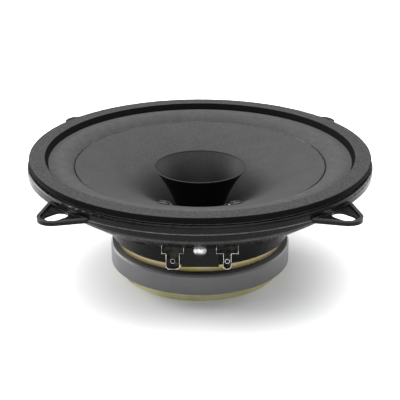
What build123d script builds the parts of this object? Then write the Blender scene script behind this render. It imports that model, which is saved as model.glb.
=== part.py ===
from build123d import *
import math
import os

# Dual-cone car speaker, 130 mm rim. Millimetres, +Z out of the front.
# The origin is the centre of the back plate's underside.

os.makedirs("parts", exist_ok=True)

# ---- driving dimensions ----
rim_radius = 65.0              # outside of the basket's rim
total_height = 48.0            # back plate underside to gasket top
sheet = 0.9                    # basket steel
voice_coil_radius = 8.5        # outside of the voice coil former

# ---- motor stack, from the back ----
back_plate_radius = 30.5
back_plate_thick = 4.0
magnet_radius = 34.4
magnet_hole_radius = 16.0
magnet_thick = 8.4
top_plate_radius = 31.8
top_plate_thick = 3.2
glue_film = 0.2
magnet_bottom = back_plate_thick + glue_film
magnet_top = back_plate_thick + magnet_thick - glue_film
top_plate_bottom = magnet_top + glue_film
top_plate_top = top_plate_bottom + top_plate_thick
pole_radius = voice_coil_radius - 0.6
spigot_radius = 4.5
gap_radius = voice_coil_radius + 1.0

# ---- basket ----
floor_hole_radius = 11.5
pan_radius = 33.8
tongue_start = 35.4            # where the terminal bracket leaves the pan's rim
tongue_middle = 24.85
flange_top = total_height - 2.8
flange_under = flange_top - sheet
skirt_bottom = flange_top - 3.2
window_inner_radius = 36.9
window_outer_radius = 48.5
window_half_angle = 29.0
rivet_circle_radius = 22.0
rivet_radius = 2.0

# ---- mounting ears ----
ear_under = 41.4
ear_lip_top = 43.0
slot_radius = 2.9
slot_length = 9.0
slot_centre_radius = 69.8
ear_tip_radius = 5.5
ear_tip_centre = slot_centre_radius + slot_length / 2 - slot_radius
ear_base_width = 21.0
ear_lip_width = 1.2

# ---- soft ring parts ----
gasket_radius = 64.3
gasket_top_inner = 58.3
gasket_foot_inner = 57.0
surround_thick = 0.5
lip_middle = flange_top + surround_thick / 2
gasket_bottom = flange_top + surround_thick

# ---- moving assembly ----
cone_edge_radius = 46.9
cone_edge_height = 43.5
cone_middle_radius = 26.6
cone_middle_height = 36.0
cone_neck_height = 24.3
cone_thick = 0.5
whizzer_rim_radius = 17.6
whizzer_rim_height = 42.1
whizzer_neck_height = 25.5
whizzer_thick = 0.35
former_thick = 0.25
former_bottom = 9.6
former_top = 25.6
spider_height = 21.5
spider_radius = 32.6
dust_cap_radius = 9.7
dust_cap_height = 29.2
dust_cap_rise = 2.75
dust_cap_thick = 0.35

# ---- terminals, on the direction between the -Y and +X ears ----
board_front = 44.9
board_thick = 2.0
board_top = 29.2
board_back = board_front - board_thick
bracket_back = board_back - sheet
bracket_width = 12.0
bracket_height = 5.2
board_rivet_radius = 1.5
rivet_height = 27.2
terminal_offset = 9.6
terminal_sheet = 0.8
lead_diameter = 1.1
lead_angle = 23.2              # eyelets stand this far either side
eyelet_circle_radius = 31.7

HALF = math.sqrt(0.5)


def terminal_plane(distance):
    """Upright plane facing out between two ears, its local x to the right."""
    centre = (distance * HALF, -distance * HALF, 0)
    return Plane(origin=centre, x_dir=(HALF, HALF, 0), z_dir=(HALF, -HALF, 0))


def terminal_point(distance, side, height):
    """Point given outwards, sideways and up from the terminal direction."""
    return Vector(HALF * (distance + side), HALF * (side - distance), height)


# ======== motor ========
with BuildPart() as back_plate:
    with BuildSketch():
        Circle(back_plate_radius)
        Circle(spigot_radius, mode=Mode.SUBTRACT)
    extrude(amount=back_plate_thick)
    rim_edges = back_plate.edges().filter_by(GeomType.CIRCLE).sort_by(SortBy.RADIUS)[-2:]
    chamfer(rim_edges, 0.5)
back_plate.part.label = "back_plate"
export_step(back_plate.part, "parts/back_plate.step")

with BuildPart() as pole_piece:
    with BuildSketch(Plane.XY.offset(0.4)):
        Circle(spigot_radius)
    extrude(amount=back_plate_thick - 0.4)
    with BuildSketch(Plane.XY.offset(back_plate_thick)):
        Circle(pole_radius)
    extrude(amount=top_plate_top - back_plate_thick)
    chamfer(pole_piece.faces().sort_by(Axis.Z)[-1].edges(), 0.5)
pole_piece.part.label = "pole_piece"
export_step(pole_piece.part, "parts/pole_piece.step")

with BuildPart() as magnet:
    with BuildSketch(Plane.XY.offset(magnet_bottom)):
        Circle(magnet_radius)
        Circle(magnet_hole_radius, mode=Mode.SUBTRACT)
    extrude(amount=magnet_top - magnet_bottom)
    chamfer(magnet.edges().filter_by(GeomType.CIRCLE), 0.6)
magnet.part.label = "magnet"
export_step(magnet.part, "parts/magnet.step")

with BuildPart() as magnet_adhesive:
    for film_bottom in (back_plate_thick, magnet_top):
        with BuildSketch(Plane.XY.offset(film_bottom)):
            Circle(back_plate_radius - 1.5)
            Circle(magnet_hole_radius + 1.5, mode=Mode.SUBTRACT)
        extrude(amount=glue_film)
magnet_adhesive.part.label = "magnet_adhesive"
export_step(magnet_adhesive.part, "parts/magnet_adhesive.step")

with BuildPart() as top_plate:
    with BuildSketch(Plane.XY.offset(top_plate_bottom)):
        Circle(top_plate_radius)
        Circle(gap_radius, mode=Mode.SUBTRACT)
        with PolarLocations(rivet_circle_radius, 4):
            Circle(rivet_radius, mode=Mode.SUBTRACT)
    extrude(amount=top_plate_thick)
    rim_edges = top_plate.edges().filter_by(GeomType.CIRCLE).sort_by(SortBy.RADIUS)[-2:]
    chamfer(rim_edges, 0.35)
top_plate.part.label = "top_plate"
export_step(top_plate.part, "parts/top_plate.step")

# ======== basket ========
# The sheet's back surface, from the floor hole out to the rim's skirt.
basket_path = [
    (floor_hole_radius, top_plate_top),
    (pan_radius, top_plate_top),
    (36.0, 24.2),
    (44.0, 26.9),
    (56.4, 35.0),
    (56.9, 39.4),
    (58.5, 40.4),
    (58.7, flange_under),
    (rim_radius - sheet, flange_under),
    (rim_radius - sheet, skirt_bottom),
]
basket_bends = [2.2, 2.0, 8.0, 2.5, 1.2, 1.0, 0.5, 0.2]

with BuildPart() as basket:
    with BuildSketch(Plane.XZ):
        with BuildLine():
            FilletPolyline(*basket_path, radius=basket_bends)
            offset(amount=sheet, side=Side.LEFT)
        make_face()
    revolve(axis=Axis.Z)

    # Four windows leave a leg under each ear.
    leg_edge = rim_radius * math.tan(math.radians(45 - window_half_angle))
    with BuildSketch(Plane.XY.offset(top_plate_top + 4)):
        Circle(window_outer_radius)
        Circle(window_inner_radius, mode=Mode.SUBTRACT)
        with PolarLocations(0, 4):
            Polygon((0, 0), (rim_radius, -leg_edge), (rim_radius, leg_edge),
                    align=None, mode=Mode.SUBTRACT)
        fillet(vertices(), 2.4)
    extrude(amount=17, mode=Mode.SUBTRACT)

    # Four slotted ears, each with a raised lip round its edge.
    for angle in range(0, 360, 90):
        ear_frame = Plane.XY.offset(ear_under).rotated((0, 0, angle))
        with BuildSketch(ear_frame):
            with Locations((ear_tip_centre, 0)):
                Circle(ear_tip_radius)
            with Locations((rim_radius - sheet / 2, 0)):
                Rectangle(sheet, ear_base_width)
            make_hull()
        extrude(amount=ear_lip_top - ear_under)
        with BuildSketch(ear_frame.offset(sheet)):
            with Locations((ear_tip_centre, 0)):
                Circle(ear_tip_radius - ear_lip_width)
            with Locations((rim_radius + 0.1, 0)):
                Rectangle(0.2, ear_base_width - 2.6 * ear_lip_width)
            make_hull()
        extrude(amount=ear_lip_top - ear_under, mode=Mode.SUBTRACT)
        with BuildSketch(ear_frame):
            with Locations((slot_centre_radius, 0)):
                SlotOverall(slot_length, 2 * slot_radius)
        extrude(amount=sheet, mode=Mode.SUBTRACT)

    # Terminal bracket: a tongue from the pan's rim, turned up at its end.
    with BuildSketch(terminal_plane(tongue_start)):
        with Locations((0, tongue_middle)):
            Rectangle(bracket_width, sheet)
    extrude(amount=board_back - tongue_start)
    with BuildSketch(terminal_plane(bracket_back)):
        with Locations((0, tongue_middle - sheet / 2 + bracket_height / 2)):
            Rectangle(bracket_width, bracket_height)
    extrude(amount=sheet)
    with BuildSketch(terminal_plane(bracket_back)):
        with Locations((0, rivet_height)):
            Circle(board_rivet_radius)
    extrude(amount=sheet, mode=Mode.SUBTRACT)

    # Holes for the rivets that hold the floor to the top plate.
    with BuildSketch(Plane.XY.offset(top_plate_top)):
        with PolarLocations(rivet_circle_radius, 4):
            Circle(rivet_radius)
    extrude(amount=sheet, mode=Mode.SUBTRACT)
basket.part.label = "basket"
export_step(basket.part, "parts/basket.step")

with BuildPart() as basket_rivets:
    with BuildSketch(Plane.XY.offset(top_plate_bottom)):
        with PolarLocations(rivet_circle_radius, 4):
            Circle(rivet_radius)
    extrude(amount=top_plate_thick + sheet)
    with BuildSketch(Plane.XY.offset(top_plate_top + sheet)):
        with PolarLocations(rivet_circle_radius, 4):
            Circle(rivet_radius + 1.1)
    extrude(amount=0.8)
    chamfer(basket_rivets.faces().sort_by(Axis.Z)[-4:].edges(), 0.3)
basket_rivets.part.label = "basket_rivets"
export_step(basket_rivets.part, "parts/basket_rivets.step")

with BuildPart() as spider_ring:
    with BuildSketch(Plane.XY.offset(top_plate_top + sheet)):
        Circle(31.2)
        Circle(28.4, mode=Mode.SUBTRACT)
    extrude(amount=spider_height - 0.2 - top_plate_top - sheet)
spider_ring.part.label = "spider_ring"
export_step(spider_ring.part, "parts/spider_ring.step")

# ======== gasket and surround ========
with BuildPart() as gasket:
    with BuildSketch(Plane.XZ):
        with BuildLine():
            Polyline((gasket_foot_inner, gasket_bottom), (gasket_radius, gasket_bottom),
                     (gasket_radius, total_height), (gasket_top_inner, total_height),
                     close=True)
        make_face()
        fillet(vertices().group_by(Axis.Y)[-1], 0.4)
    revolve(axis=Axis.Z)
gasket.part.label = "gasket"
export_step(gasket.part, "parts/gasket.step")

# Middle line of the surround: outer lip, shallow roll, inner lip under the cone.
with BuildPart() as surround:
    with BuildSketch(Plane.XZ):
        with BuildLine():
            outer_lip = Line((63.6, lip_middle), (56.5, lip_middle))
            roll = ThreePointArc(outer_lip @ 1, (51.9, lip_middle + 0.25), (47.6, 42.83))
            Line(roll @ 1, (43.9, 41.72))
            offset(amount=surround_thick / 2)
        make_face()
    revolve(axis=Axis.Z)
surround.part.label = "surround"
export_step(surround.part, "parts/surround.step")

# ======== moving assembly ========
neck_radius = voice_coil_radius + 0.05
with BuildPart() as cone:
    with BuildSketch(Plane.XZ):
        with BuildLine():
            ThreePointArc((neck_radius, cone_neck_height), (cone_middle_radius, cone_middle_height),
                          (cone_edge_radius, cone_edge_height))
            offset(amount=cone_thick, side=Side.RIGHT)
        make_face()
    revolve(axis=Axis.Z)
    for side in (-1, 1):
        turn = math.radians(-45 + side * lead_angle)
        eyelet_spot = (eyelet_circle_radius * math.cos(turn),
                       eyelet_circle_radius * math.sin(turn))
        with BuildSketch(Plane.XY.offset(30)):
            with Locations(eyelet_spot):
                Circle(1.0)
        extrude(amount=15, mode=Mode.SUBTRACT)
cone.part.label = "cone"
export_step(cone.part, "parts/cone.step")

with BuildPart() as whizzer_cone:
    with BuildSketch(Plane.XZ):
        with BuildLine():
            ThreePointArc((neck_radius, whizzer_neck_height), (11.7, 33.4),
                          (whizzer_rim_radius - whizzer_thick, whizzer_rim_height))
            offset(amount=whizzer_thick, side=Side.RIGHT)
        make_face()
    revolve(axis=Axis.Z)
whizzer_cone.part.label = "whizzer_cone"
export_step(whizzer_cone.part, "parts/whizzer_cone.step")

# Dust cap: a shallow dome cut from a sphere.
dome_radius = (dust_cap_radius ** 2 + dust_cap_rise ** 2) / (2 * dust_cap_rise)
with BuildPart() as dust_cap:
    with Locations((0, 0, dust_cap_height + dust_cap_rise - dome_radius)):
        Sphere(dome_radius)
        Sphere(dome_radius - dust_cap_thick, mode=Mode.SUBTRACT)
    split(bisect_by=Plane.XY.offset(dust_cap_height), keep=Keep.TOP)
dust_cap.part.label = "dust_cap"
export_step(dust_cap.part, "parts/dust_cap.step")

with BuildPart() as voice_coil_former:
    with BuildSketch(Plane.XY.offset(former_bottom)):
        Circle(voice_coil_radius)
        Circle(voice_coil_radius - former_thick, mode=Mode.SUBTRACT)
    extrude(amount=former_top - former_bottom)
voice_coil_former.part.label = "voice_coil_former"
export_step(voice_coil_former.part, "parts/voice_coil_former.step")

with BuildPart() as voice_coil_winding:
    with BuildSketch(Plane.XY.offset(former_bottom + 0.6)):
        Circle(voice_coil_radius + 0.5)
        Circle(voice_coil_radius, mode=Mode.SUBTRACT)
    extrude(amount=7.6)
voice_coil_winding.part.label = "voice_coil_winding"
export_step(voice_coil_winding.part, "parts/voice_coil_winding.step")

# Spider: flat collar, eight half waves, flat lip glued on the spider ring.
wave_count = 8
wave_start = 12.0
wave_end = 28.0
wave_height = 0.8
half_wave = (wave_end - wave_start) / wave_count
with BuildPart() as spider:
    with BuildSketch(Plane.XZ):
        with BuildLine():
            run = Line((neck_radius + 0.2, spider_height), (wave_start, spider_height))
            for wave in range(wave_count):
                crest = spider_height + wave_height * (1 if wave % 2 == 0 else -1)
                start = wave_start + wave * half_wave
                run = ThreePointArc((start, spider_height), (start + half_wave / 2, crest),
                                    (start + half_wave, spider_height))
            Line(run @ 1, (spider_radius, spider_height))
            offset(amount=0.18)
        make_face()
    revolve(axis=Axis.Z)
spider.part.label = "spider"
export_step(spider.part, "parts/spider.step")

with BuildPart() as neck_glue:
    with BuildSketch(Plane.XY.offset(cone_neck_height + 0.5)):
        Circle(voice_coil_radius + 0.5)
        Circle(voice_coil_radius, mode=Mode.SUBTRACT)
    extrude(amount=0.45)
neck_glue.part.label = "neck_glue"
export_step(neck_glue.part, "parts/neck_glue.step")

with BuildPart() as spider_glue:
    with BuildSketch(Plane.XZ):
        with BuildLine():
            Polyline((voice_coil_radius, spider_height + 0.2),
                     (voice_coil_radius + 1.1, spider_height + 0.2),
                     (voice_coil_radius, spider_height + 1.2), close=True)
        make_face()
    revolve(axis=Axis.Z)
spider_glue.part.label = "spider_glue"
export_step(spider_glue.part, "parts/spider_glue.step")

# ======== terminals ========
with BuildPart() as terminal_board:
    with BuildSketch(terminal_plane(board_back)):
        with Locations((0, board_top - 4.15)):
            Rectangle(13.3, 8.3)
        with Locations((0, board_top - 1.6)):
            Rectangle(27.4, 3.2)
        fillet(vertices().group_by(Axis.Y)[-1], 0.8)
        with Locations((0, rivet_height)):
            Circle(board_rivet_radius, mode=Mode.SUBTRACT)
    extrude(amount=board_thick)
terminal_board.part.label = "terminal_board"
export_step(terminal_board.part, "parts/terminal_board.step")

with BuildPart() as board_rivet:
    with BuildSketch(terminal_plane(bracket_back - 0.6)):
        with Locations((0, rivet_height)):
            Circle(1.75)
    extrude(amount=0.6)
    with BuildSketch(terminal_plane(bracket_back)):
        with Locations((0, rivet_height)):
            Circle(board_rivet_radius)
    extrude(amount=board_front - bracket_back)
    with BuildSketch(terminal_plane(board_front)):
        with Locations((0, rivet_height)):
            Circle(2.4)
    extrude(amount=0.7)
board_rivet.part.label = "board_rivet"
export_step(board_rivet.part, "parts/board_rivet.step")

# Push-on terminals: a shoulder on the board's wing, a blade hanging below it,
# and a solder lug folded back over the board's top edge.
blade_widths = {"terminal_positive": 4.8, "terminal_negative": 2.8}
blade_sides = {"terminal_positive": -1, "terminal_negative": 1}
shoulder_width = 7.8
blade_tip = 20.4
lug_start = 38.6
lug_width = 3.2
for name, blade_width in blade_widths.items():
    side = blade_sides[name]
    with BuildPart() as terminal:
        with BuildSketch(terminal_plane(board_front)):
            with Locations((side * terminal_offset, board_top - 1.0)):
                Rectangle(shoulder_width, 3.6)
            with Locations((side * terminal_offset, (board_top + blade_tip) / 2)):
                Rectangle(blade_width, board_top - blade_tip)
            chamfer(vertices().group_by(Axis.Y)[0], 0.8)
            with Locations((side * terminal_offset, blade_tip + 3.1)):
                Circle(0.75, mode=Mode.SUBTRACT)
        extrude(amount=terminal_sheet)
        with BuildSketch(terminal_plane(lug_start)):
            with Locations((side * terminal_offset, board_top + terminal_sheet / 2)):
                Rectangle(lug_width, terminal_sheet)
        extrude(amount=board_front + terminal_sheet - lug_start)
    terminal.part.label = name
    export_step(terminal.part, "parts/" + name + ".step")

# ======== leads, one each side of the terminal direction ========
# The coil's lead-out runs out over the cone to an eyelet under lacquer,
# and the braided lead hangs from the eyelet's tail to the solder lug.
lug_top = board_top + terminal_sheet
eyelet_tail = 36.25
eyelet_out = eyelet_circle_radius * math.cos(math.radians(lead_angle))
eyelet_aside = eyelet_circle_radius * math.sin(math.radians(lead_angle))
lead_routes = {
    "negative": [(0, 0, eyelet_tail), (0, 0, 33.1), (3.2, -1.2, 30.6),
                 (6.8, -2.2, 29.9), (9.9, -2.8, lug_top + 0.6), (12.1, -3.0, lug_top + 0.65)],
    "positive": [(0, 0, eyelet_tail), (0, 0, 33.0), (3.5, 1.0, 30.4),
                 (7.0, 2.1, 30.1), (9.8, 2.8, lug_top + 0.6), (12.1, 2.9, lug_top + 0.65)],
}
lead_sides = {"negative": 1, "positive": -1}


def tangent_radii(points):
    """Bend radii that use 0.45 of the shorter run beside each corner."""
    radii = []
    for before, corner, after in zip(points, points[1:], points[2:]):
        run_in = corner - before
        run_out = after - corner
        half_turn = math.radians(run_in.get_angle(run_out)) / 2
        radii.append(0.45 * min(run_in.length, run_out.length) / math.tan(half_turn))
    return radii


for pole, side in lead_sides.items():
    turn = math.radians(-45 + side * lead_angle)
    outward = (math.cos(turn), math.sin(turn), 0)

    route = []
    for out, aside, height in lead_routes[pole]:
        route.append(terminal_point(eyelet_out + out, side * eyelet_aside + aside, height))
    radii = tangent_radii(route)
    print("tinsel_lead_" + pole, "bend radii", [round(radius, 2) for radius in radii])
    with BuildPart() as tinsel_lead:
        with BuildLine() as lead_line:
            FilletPolyline(*route, radius=radii)
        with BuildSketch(Plane(origin=route[0], z_dir=route[1] - route[0])):
            Circle(lead_diameter / 2)
        sweep(path=lead_line.line)
    tinsel_lead.part.label = "tinsel_lead_" + pole
    export_step(tinsel_lead.part, "parts/tinsel_lead_" + pole + ".step")

    with BuildPart() as solder:
        with BuildSketch(Plane.XY.offset(lug_top)):
            spot = terminal_point(eyelet_out + 13.6, side * terminal_offset, 0)
            with Locations((spot.X, spot.Y)):
                Circle(1.35)
        extrude(amount=1.3, taper=22)
    solder.part.label = "solder_" + pole
    export_step(solder.part, "parts/solder_" + pole + ".step")

    spot = (eyelet_circle_radius * math.cos(turn), eyelet_circle_radius * math.sin(turn))
    with BuildPart() as eyelet:
        with BuildSketch(Plane.XY.offset(eyelet_tail)):
            with Locations(spot):
                Circle(0.95)
        extrude(amount=2.7)
    eyelet.part.label = "cone_eyelet_" + pole
    export_step(eyelet.part, "parts/cone_eyelet_" + pole + ".step")

    with BuildPart() as lacquer:
        with BuildSketch(Plane.XZ):
            with BuildLine():
                lower = ThreePointArc((neck_radius, cone_neck_height + 0.05),
                                      (cone_middle_radius, cone_middle_height + 0.05),
                                      (cone_edge_radius, cone_edge_height + 0.05))
                upper = ThreePointArc((neck_radius, cone_neck_height + 0.7),
                                      (cone_middle_radius, cone_middle_height + 0.7),
                                      (cone_edge_radius, cone_edge_height + 0.7))
                Line(lower @ 0, upper @ 0)
                Line(lower @ 1, upper @ 1)
            make_face()
        revolve(axis=Axis.Z)
        strip_frame = Plane(origin=(0, 0, 20), x_dir=outward, z_dir=(0, 0, 1))
        with BuildSketch(strip_frame):
            Polygon((11.5, -2.5), (30.0, -1.8), (30.0, 1.8), (11.5, 2.5), align=None)
            with Locations((eyelet_circle_radius, 0)):
                Circle(3.0)
                Circle(1.15, mode=Mode.SUBTRACT)
        extrude(amount=30, mode=Mode.INTERSECT)
    lacquer.part.label = "lead_lacquer_" + pole
    export_step(lacquer.part, "parts/lead_lacquer_" + pole + ".step")
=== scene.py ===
import math

import bmesh
import bpy
import numpy as np
from mathutils import Matrix, Vector, noise


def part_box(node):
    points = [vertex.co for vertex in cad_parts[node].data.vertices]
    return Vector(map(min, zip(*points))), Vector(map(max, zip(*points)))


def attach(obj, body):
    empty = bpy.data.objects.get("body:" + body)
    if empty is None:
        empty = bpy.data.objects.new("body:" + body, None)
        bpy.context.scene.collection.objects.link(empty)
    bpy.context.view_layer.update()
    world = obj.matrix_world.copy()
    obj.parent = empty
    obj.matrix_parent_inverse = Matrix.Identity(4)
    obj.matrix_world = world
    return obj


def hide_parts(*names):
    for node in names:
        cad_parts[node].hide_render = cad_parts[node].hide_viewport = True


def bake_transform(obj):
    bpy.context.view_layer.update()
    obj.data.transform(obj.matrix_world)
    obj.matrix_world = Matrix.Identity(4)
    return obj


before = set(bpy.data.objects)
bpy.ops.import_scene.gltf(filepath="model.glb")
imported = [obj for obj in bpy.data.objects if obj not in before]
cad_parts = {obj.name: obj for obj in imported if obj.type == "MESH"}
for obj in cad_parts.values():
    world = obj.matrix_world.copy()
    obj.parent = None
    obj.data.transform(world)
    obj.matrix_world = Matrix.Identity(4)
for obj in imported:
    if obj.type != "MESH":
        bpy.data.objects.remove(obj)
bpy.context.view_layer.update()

# Dual-cone car speaker. Lengths are in metres, and MM turns millimetres into them.
MM = 0.001
FRAME_BODY = "frame_body"
CONE_BODY = "cone_body"
ROUND = 288                        # segments round a turned piece
TERMINAL_TURN = math.radians(-45)  # direction of the terminals, from +X
LEAD_TURN = math.radians(23.2)     # the eyelets stand this far either side of it
EYELET_CIRCLE = 31.7 * MM          # radius on which the eyelets stand
RIM_RADIUS = 65 * MM               # outside of the basket's rim


# ======== camera, floor and lights ========
def look_at(thing, target):
    """Points a light's or camera's -Z at the target."""
    direction = Vector(target) - thing.location
    thing.rotation_euler = direction.to_track_quat("-Z", "Y").to_euler()


def make_camera():
    """Looks at the speaker from the terminals' side and a little above."""
    below_gasket = 20 * MM
    elevation, turn = math.radians(22.4), math.radians(45)
    distance = 0.482
    aim = Vector((0, 0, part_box("gasket")[1].z - below_gasket))
    back = Vector((math.sin(turn) * math.cos(elevation),
                   -math.cos(turn) * math.cos(elevation), math.sin(elevation)))
    data = bpy.data.cameras.new("camera")
    data.sensor_width = 36
    data.lens = 113
    data.clip_start = 0.01
    camera = bpy.data.objects.new("camera", data)
    bpy.context.scene.collection.objects.link(camera)
    camera.location = aim + distance * back
    look_at(camera, aim)
    bpy.context.scene.camera = camera


def area_light(name, location, size, power):
    """A rectangular lamp aimed at the middle of the speaker."""
    data = bpy.data.lights.new(name, "AREA")
    data.shape = "RECTANGLE"
    data.size, data.size_y = size
    data.energy = power
    light = bpy.data.objects.new(name, data)
    bpy.context.scene.collection.objects.link(light)
    light.location = location
    look_at(light, (0, 0, 0.03))


def make_studio():
    """A wide soft box overhead, weaker ones left, right and in front, in a dim room."""
    world = bpy.data.worlds.new("studio")
    world.use_nodes = True
    background = world.node_tree.nodes["Background"]
    background.inputs["Color"].default_value = (0.95, 0.97, 1.0, 1)
    background.inputs["Strength"].default_value = 0.3
    bpy.context.scene.world = world
    area_light("top_box", (-0.15, 0.05, 1.3), (2.4, 2.4), 66.0)
    area_light("left_box", (-0.52, -0.19, 0.16), (0.4, 0.26), 3.5)
    area_light("right_box", (0.2, 0.54, 0.16), (0.4, 0.26), 1.8)
    area_light("front_box", (0.6, -0.6, 0.5), (0.9, 0.3), 2.0)
    bpy.context.scene.view_settings.view_transform = "Standard"

    half = 3.0
    mesh = new_mesh("floor", [(-half, -half, 0), (half, -half, 0), (half, half, 0), (-half, half, 0)],
                    [(0, 1, 2, 3)])
    floor = bpy.data.objects.new("floor", mesh)
    bpy.context.scene.collection.objects.link(floor)
    mesh.materials.append(new_material("floor_paint", (0.9, 0.9, 0.9), 0.8)[0])


# ======== material tools ========
def new_material(name, colour, roughness, metallic=0.0, **settings):
    """A Principled material. settings are socket names with _ for spaces."""
    material = bpy.data.materials.new(name)
    material.use_nodes = True
    tree = material.node_tree
    shader = tree.nodes["Principled BSDF"]
    shader.inputs["Base Color"].default_value = (*colour, 1)
    shader.inputs["Roughness"].default_value = roughness
    shader.inputs["Metallic"].default_value = metallic
    for socket, value in settings.items():
        shader.inputs[socket.replace("_", " ")].default_value = value
    return material, shader, tree


def object_coordinates(tree):
    return tree.nodes.new("ShaderNodeTexCoord").outputs["Object"]


def axis_value(tree, coordinates, axis):
    """One component of a vector."""
    split = tree.nodes.new("ShaderNodeSeparateXYZ")
    tree.links.new(coordinates, split.inputs[0])
    return split.outputs[axis]


def turned_coordinates(tree):
    """Radius and height as a vector's X and Y, so that a pattern runs round the axis."""
    flat = tree.nodes.new("ShaderNodeVectorMath")
    flat.operation = "MULTIPLY"
    flat.inputs[1].default_value = (1, 1, 0)
    tree.links.new(object_coordinates(tree), flat.inputs[0])
    length = tree.nodes.new("ShaderNodeVectorMath")
    length.operation = "LENGTH"
    tree.links.new(flat.outputs[0], length.inputs[0])
    join = tree.nodes.new("ShaderNodeCombineXYZ")
    tree.links.new(length.outputs["Value"], join.inputs["X"])
    tree.links.new(axis_value(tree, object_coordinates(tree), "Z"), join.inputs["Y"])
    return join.outputs[0]


def radius_value(tree):
    return axis_value(tree, turned_coordinates(tree), "X")


def height_value(tree):
    return axis_value(tree, turned_coordinates(tree), "Y")


def noise_value(tree, scale, detail=4.0, roughness=0.6, coordinates=None):
    texture = tree.nodes.new("ShaderNodeTexNoise")
    texture.inputs["Scale"].default_value = scale
    texture.inputs["Detail"].default_value = detail
    texture.inputs["Roughness"].default_value = roughness
    tree.links.new(coordinates or object_coordinates(tree), texture.inputs["Vector"])
    return texture.outputs["Fac"]


def cell_value(tree, scale):
    texture = tree.nodes.new("ShaderNodeTexVoronoi")
    texture.inputs["Scale"].default_value = scale
    tree.links.new(object_coordinates(tree), texture.inputs["Vector"])
    return texture.outputs["Distance"]


def wave_value(tree, direction, scale, distortion=0.0):
    texture = tree.nodes.new("ShaderNodeTexWave")
    texture.bands_direction = direction
    texture.inputs["Scale"].default_value = scale
    texture.inputs["Distortion"].default_value = distortion
    tree.links.new(object_coordinates(tree), texture.inputs["Vector"])
    return texture.outputs["Fac"]


def ramp_colour(tree, value, stops):
    """Colours between stops, each (position, (r, g, b))."""
    ramp = tree.nodes.new("ShaderNodeValToRGB")
    elements = ramp.color_ramp.elements
    while len(elements) < len(stops):
        elements.new(0.5)
    for element, (position, colour) in zip(elements, stops):
        element.position = position
        element.color = (*colour, 1)
    tree.links.new(value, ramp.inputs["Fac"])
    return ramp.outputs["Color"]


def shades(tree, value, dark, light, start=0.3, end=0.7):
    """Dark where the value is at start, light where it is at end."""
    return ramp_colour(tree, value, [(start, dark), (end, light)])


def remap(tree, value, low, high, start=0.3, end=0.7):
    """low where the value is at start, high where it is at end, and held beyond both."""
    node = tree.nodes.new("ShaderNodeMapRange")
    node.inputs["From Min"].default_value = start
    node.inputs["From Max"].default_value = end
    node.inputs["To Min"].default_value = low
    node.inputs["To Max"].default_value = high
    tree.links.new(value, node.inputs["Value"])
    return node.outputs["Result"]


def times(tree, first, second):
    node = tree.nodes.new("ShaderNodeMath")
    node.operation = "MULTIPLY"
    tree.links.new(first, node.inputs[0])
    tree.links.new(second, node.inputs[1])
    return node.outputs[0]


def mixed(tree, factor, first, second, blend_type="MIX"):
    """A colour between two, each a socket or an (r, g, b)."""
    node = tree.nodes.new("ShaderNodeMix")
    node.data_type = "RGBA"
    node.blend_type = blend_type
    if isinstance(factor, float):
        node.inputs["Factor"].default_value = factor
    else:
        tree.links.new(factor, node.inputs["Factor"])
    for socket, value in ((node.inputs[6], first), (node.inputs[7], second)):
        if isinstance(value, tuple):
            socket.default_value = (*value, 1)
        else:
            tree.links.new(value, socket)
    return node.outputs[2]


def add_bump(tree, shader, layers):
    """layers are (height value, depth in metres), stacked one on another."""
    normal = None
    for height, depth in layers:
        node = tree.nodes.new("ShaderNodeBump")
        node.inputs["Strength"].default_value = 1.0
        node.inputs["Distance"].default_value = depth
        tree.links.new(height, node.inputs["Height"])
        if normal is not None:
            tree.links.new(normal, node.inputs["Normal"])
        normal = node.outputs["Normal"]
    tree.links.new(normal, shader.inputs["Normal"])


def edge_mask(tree, radius):
    """1 where a sharp edge is nearer than the radius, and 0 elsewhere."""
    flat, turned_away = 0.995, 0.9
    rounded = tree.nodes.new("ShaderNodeBevel")
    rounded.samples = 8
    rounded.inputs["Radius"].default_value = radius
    geometry = tree.nodes.new("ShaderNodeNewGeometry")
    likeness = tree.nodes.new("ShaderNodeVectorMath")
    likeness.operation = "DOT_PRODUCT"
    tree.links.new(rounded.outputs["Normal"], likeness.inputs[0])
    tree.links.new(geometry.outputs["Normal"], likeness.inputs[1])
    return remap(tree, likeness.outputs["Value"], 0.0, 1.0, flat, turned_away)


def upward_mask(tree, start, end):
    """0 on walls and 1 on faces that look up."""
    normal = tree.nodes.new("ShaderNodeNewGeometry").outputs["Normal"]
    return remap(tree, axis_value(tree, normal, "Z"), 0.0, 1.0, start, end)


def edge_highlight_band(tree, profile, radius, height, width):
    """1 on the turned edge at a radius and height, fading out over the width."""
    spot = tree.nodes.new("ShaderNodeCombineXYZ")
    spot.inputs["X"].default_value = radius
    spot.inputs["Y"].default_value = height
    away = tree.nodes.new("ShaderNodeVectorMath")
    away.operation = "DISTANCE"
    tree.links.new(profile, away.inputs[0])
    tree.links.new(spot.outputs[0], away.inputs[1])
    return remap(tree, away.outputs["Value"], 1.0, 0.0, width * 0.4, width)


# ======== materials ========
# Edges of the basket given painted highlights as paler bands: radius, height and width in mm, and greyness.
PAINTED_EDGE_HIGHLIGHTS = [(65, 45.2, 0.4, 0.1), (65, 42, 0.45, 0.12), (56.5, 35.2, 0.9, 0.05),
                (44, 26.9, 0.7, 0.04), (34, 15.6, 0.8, 0.05)]


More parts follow.
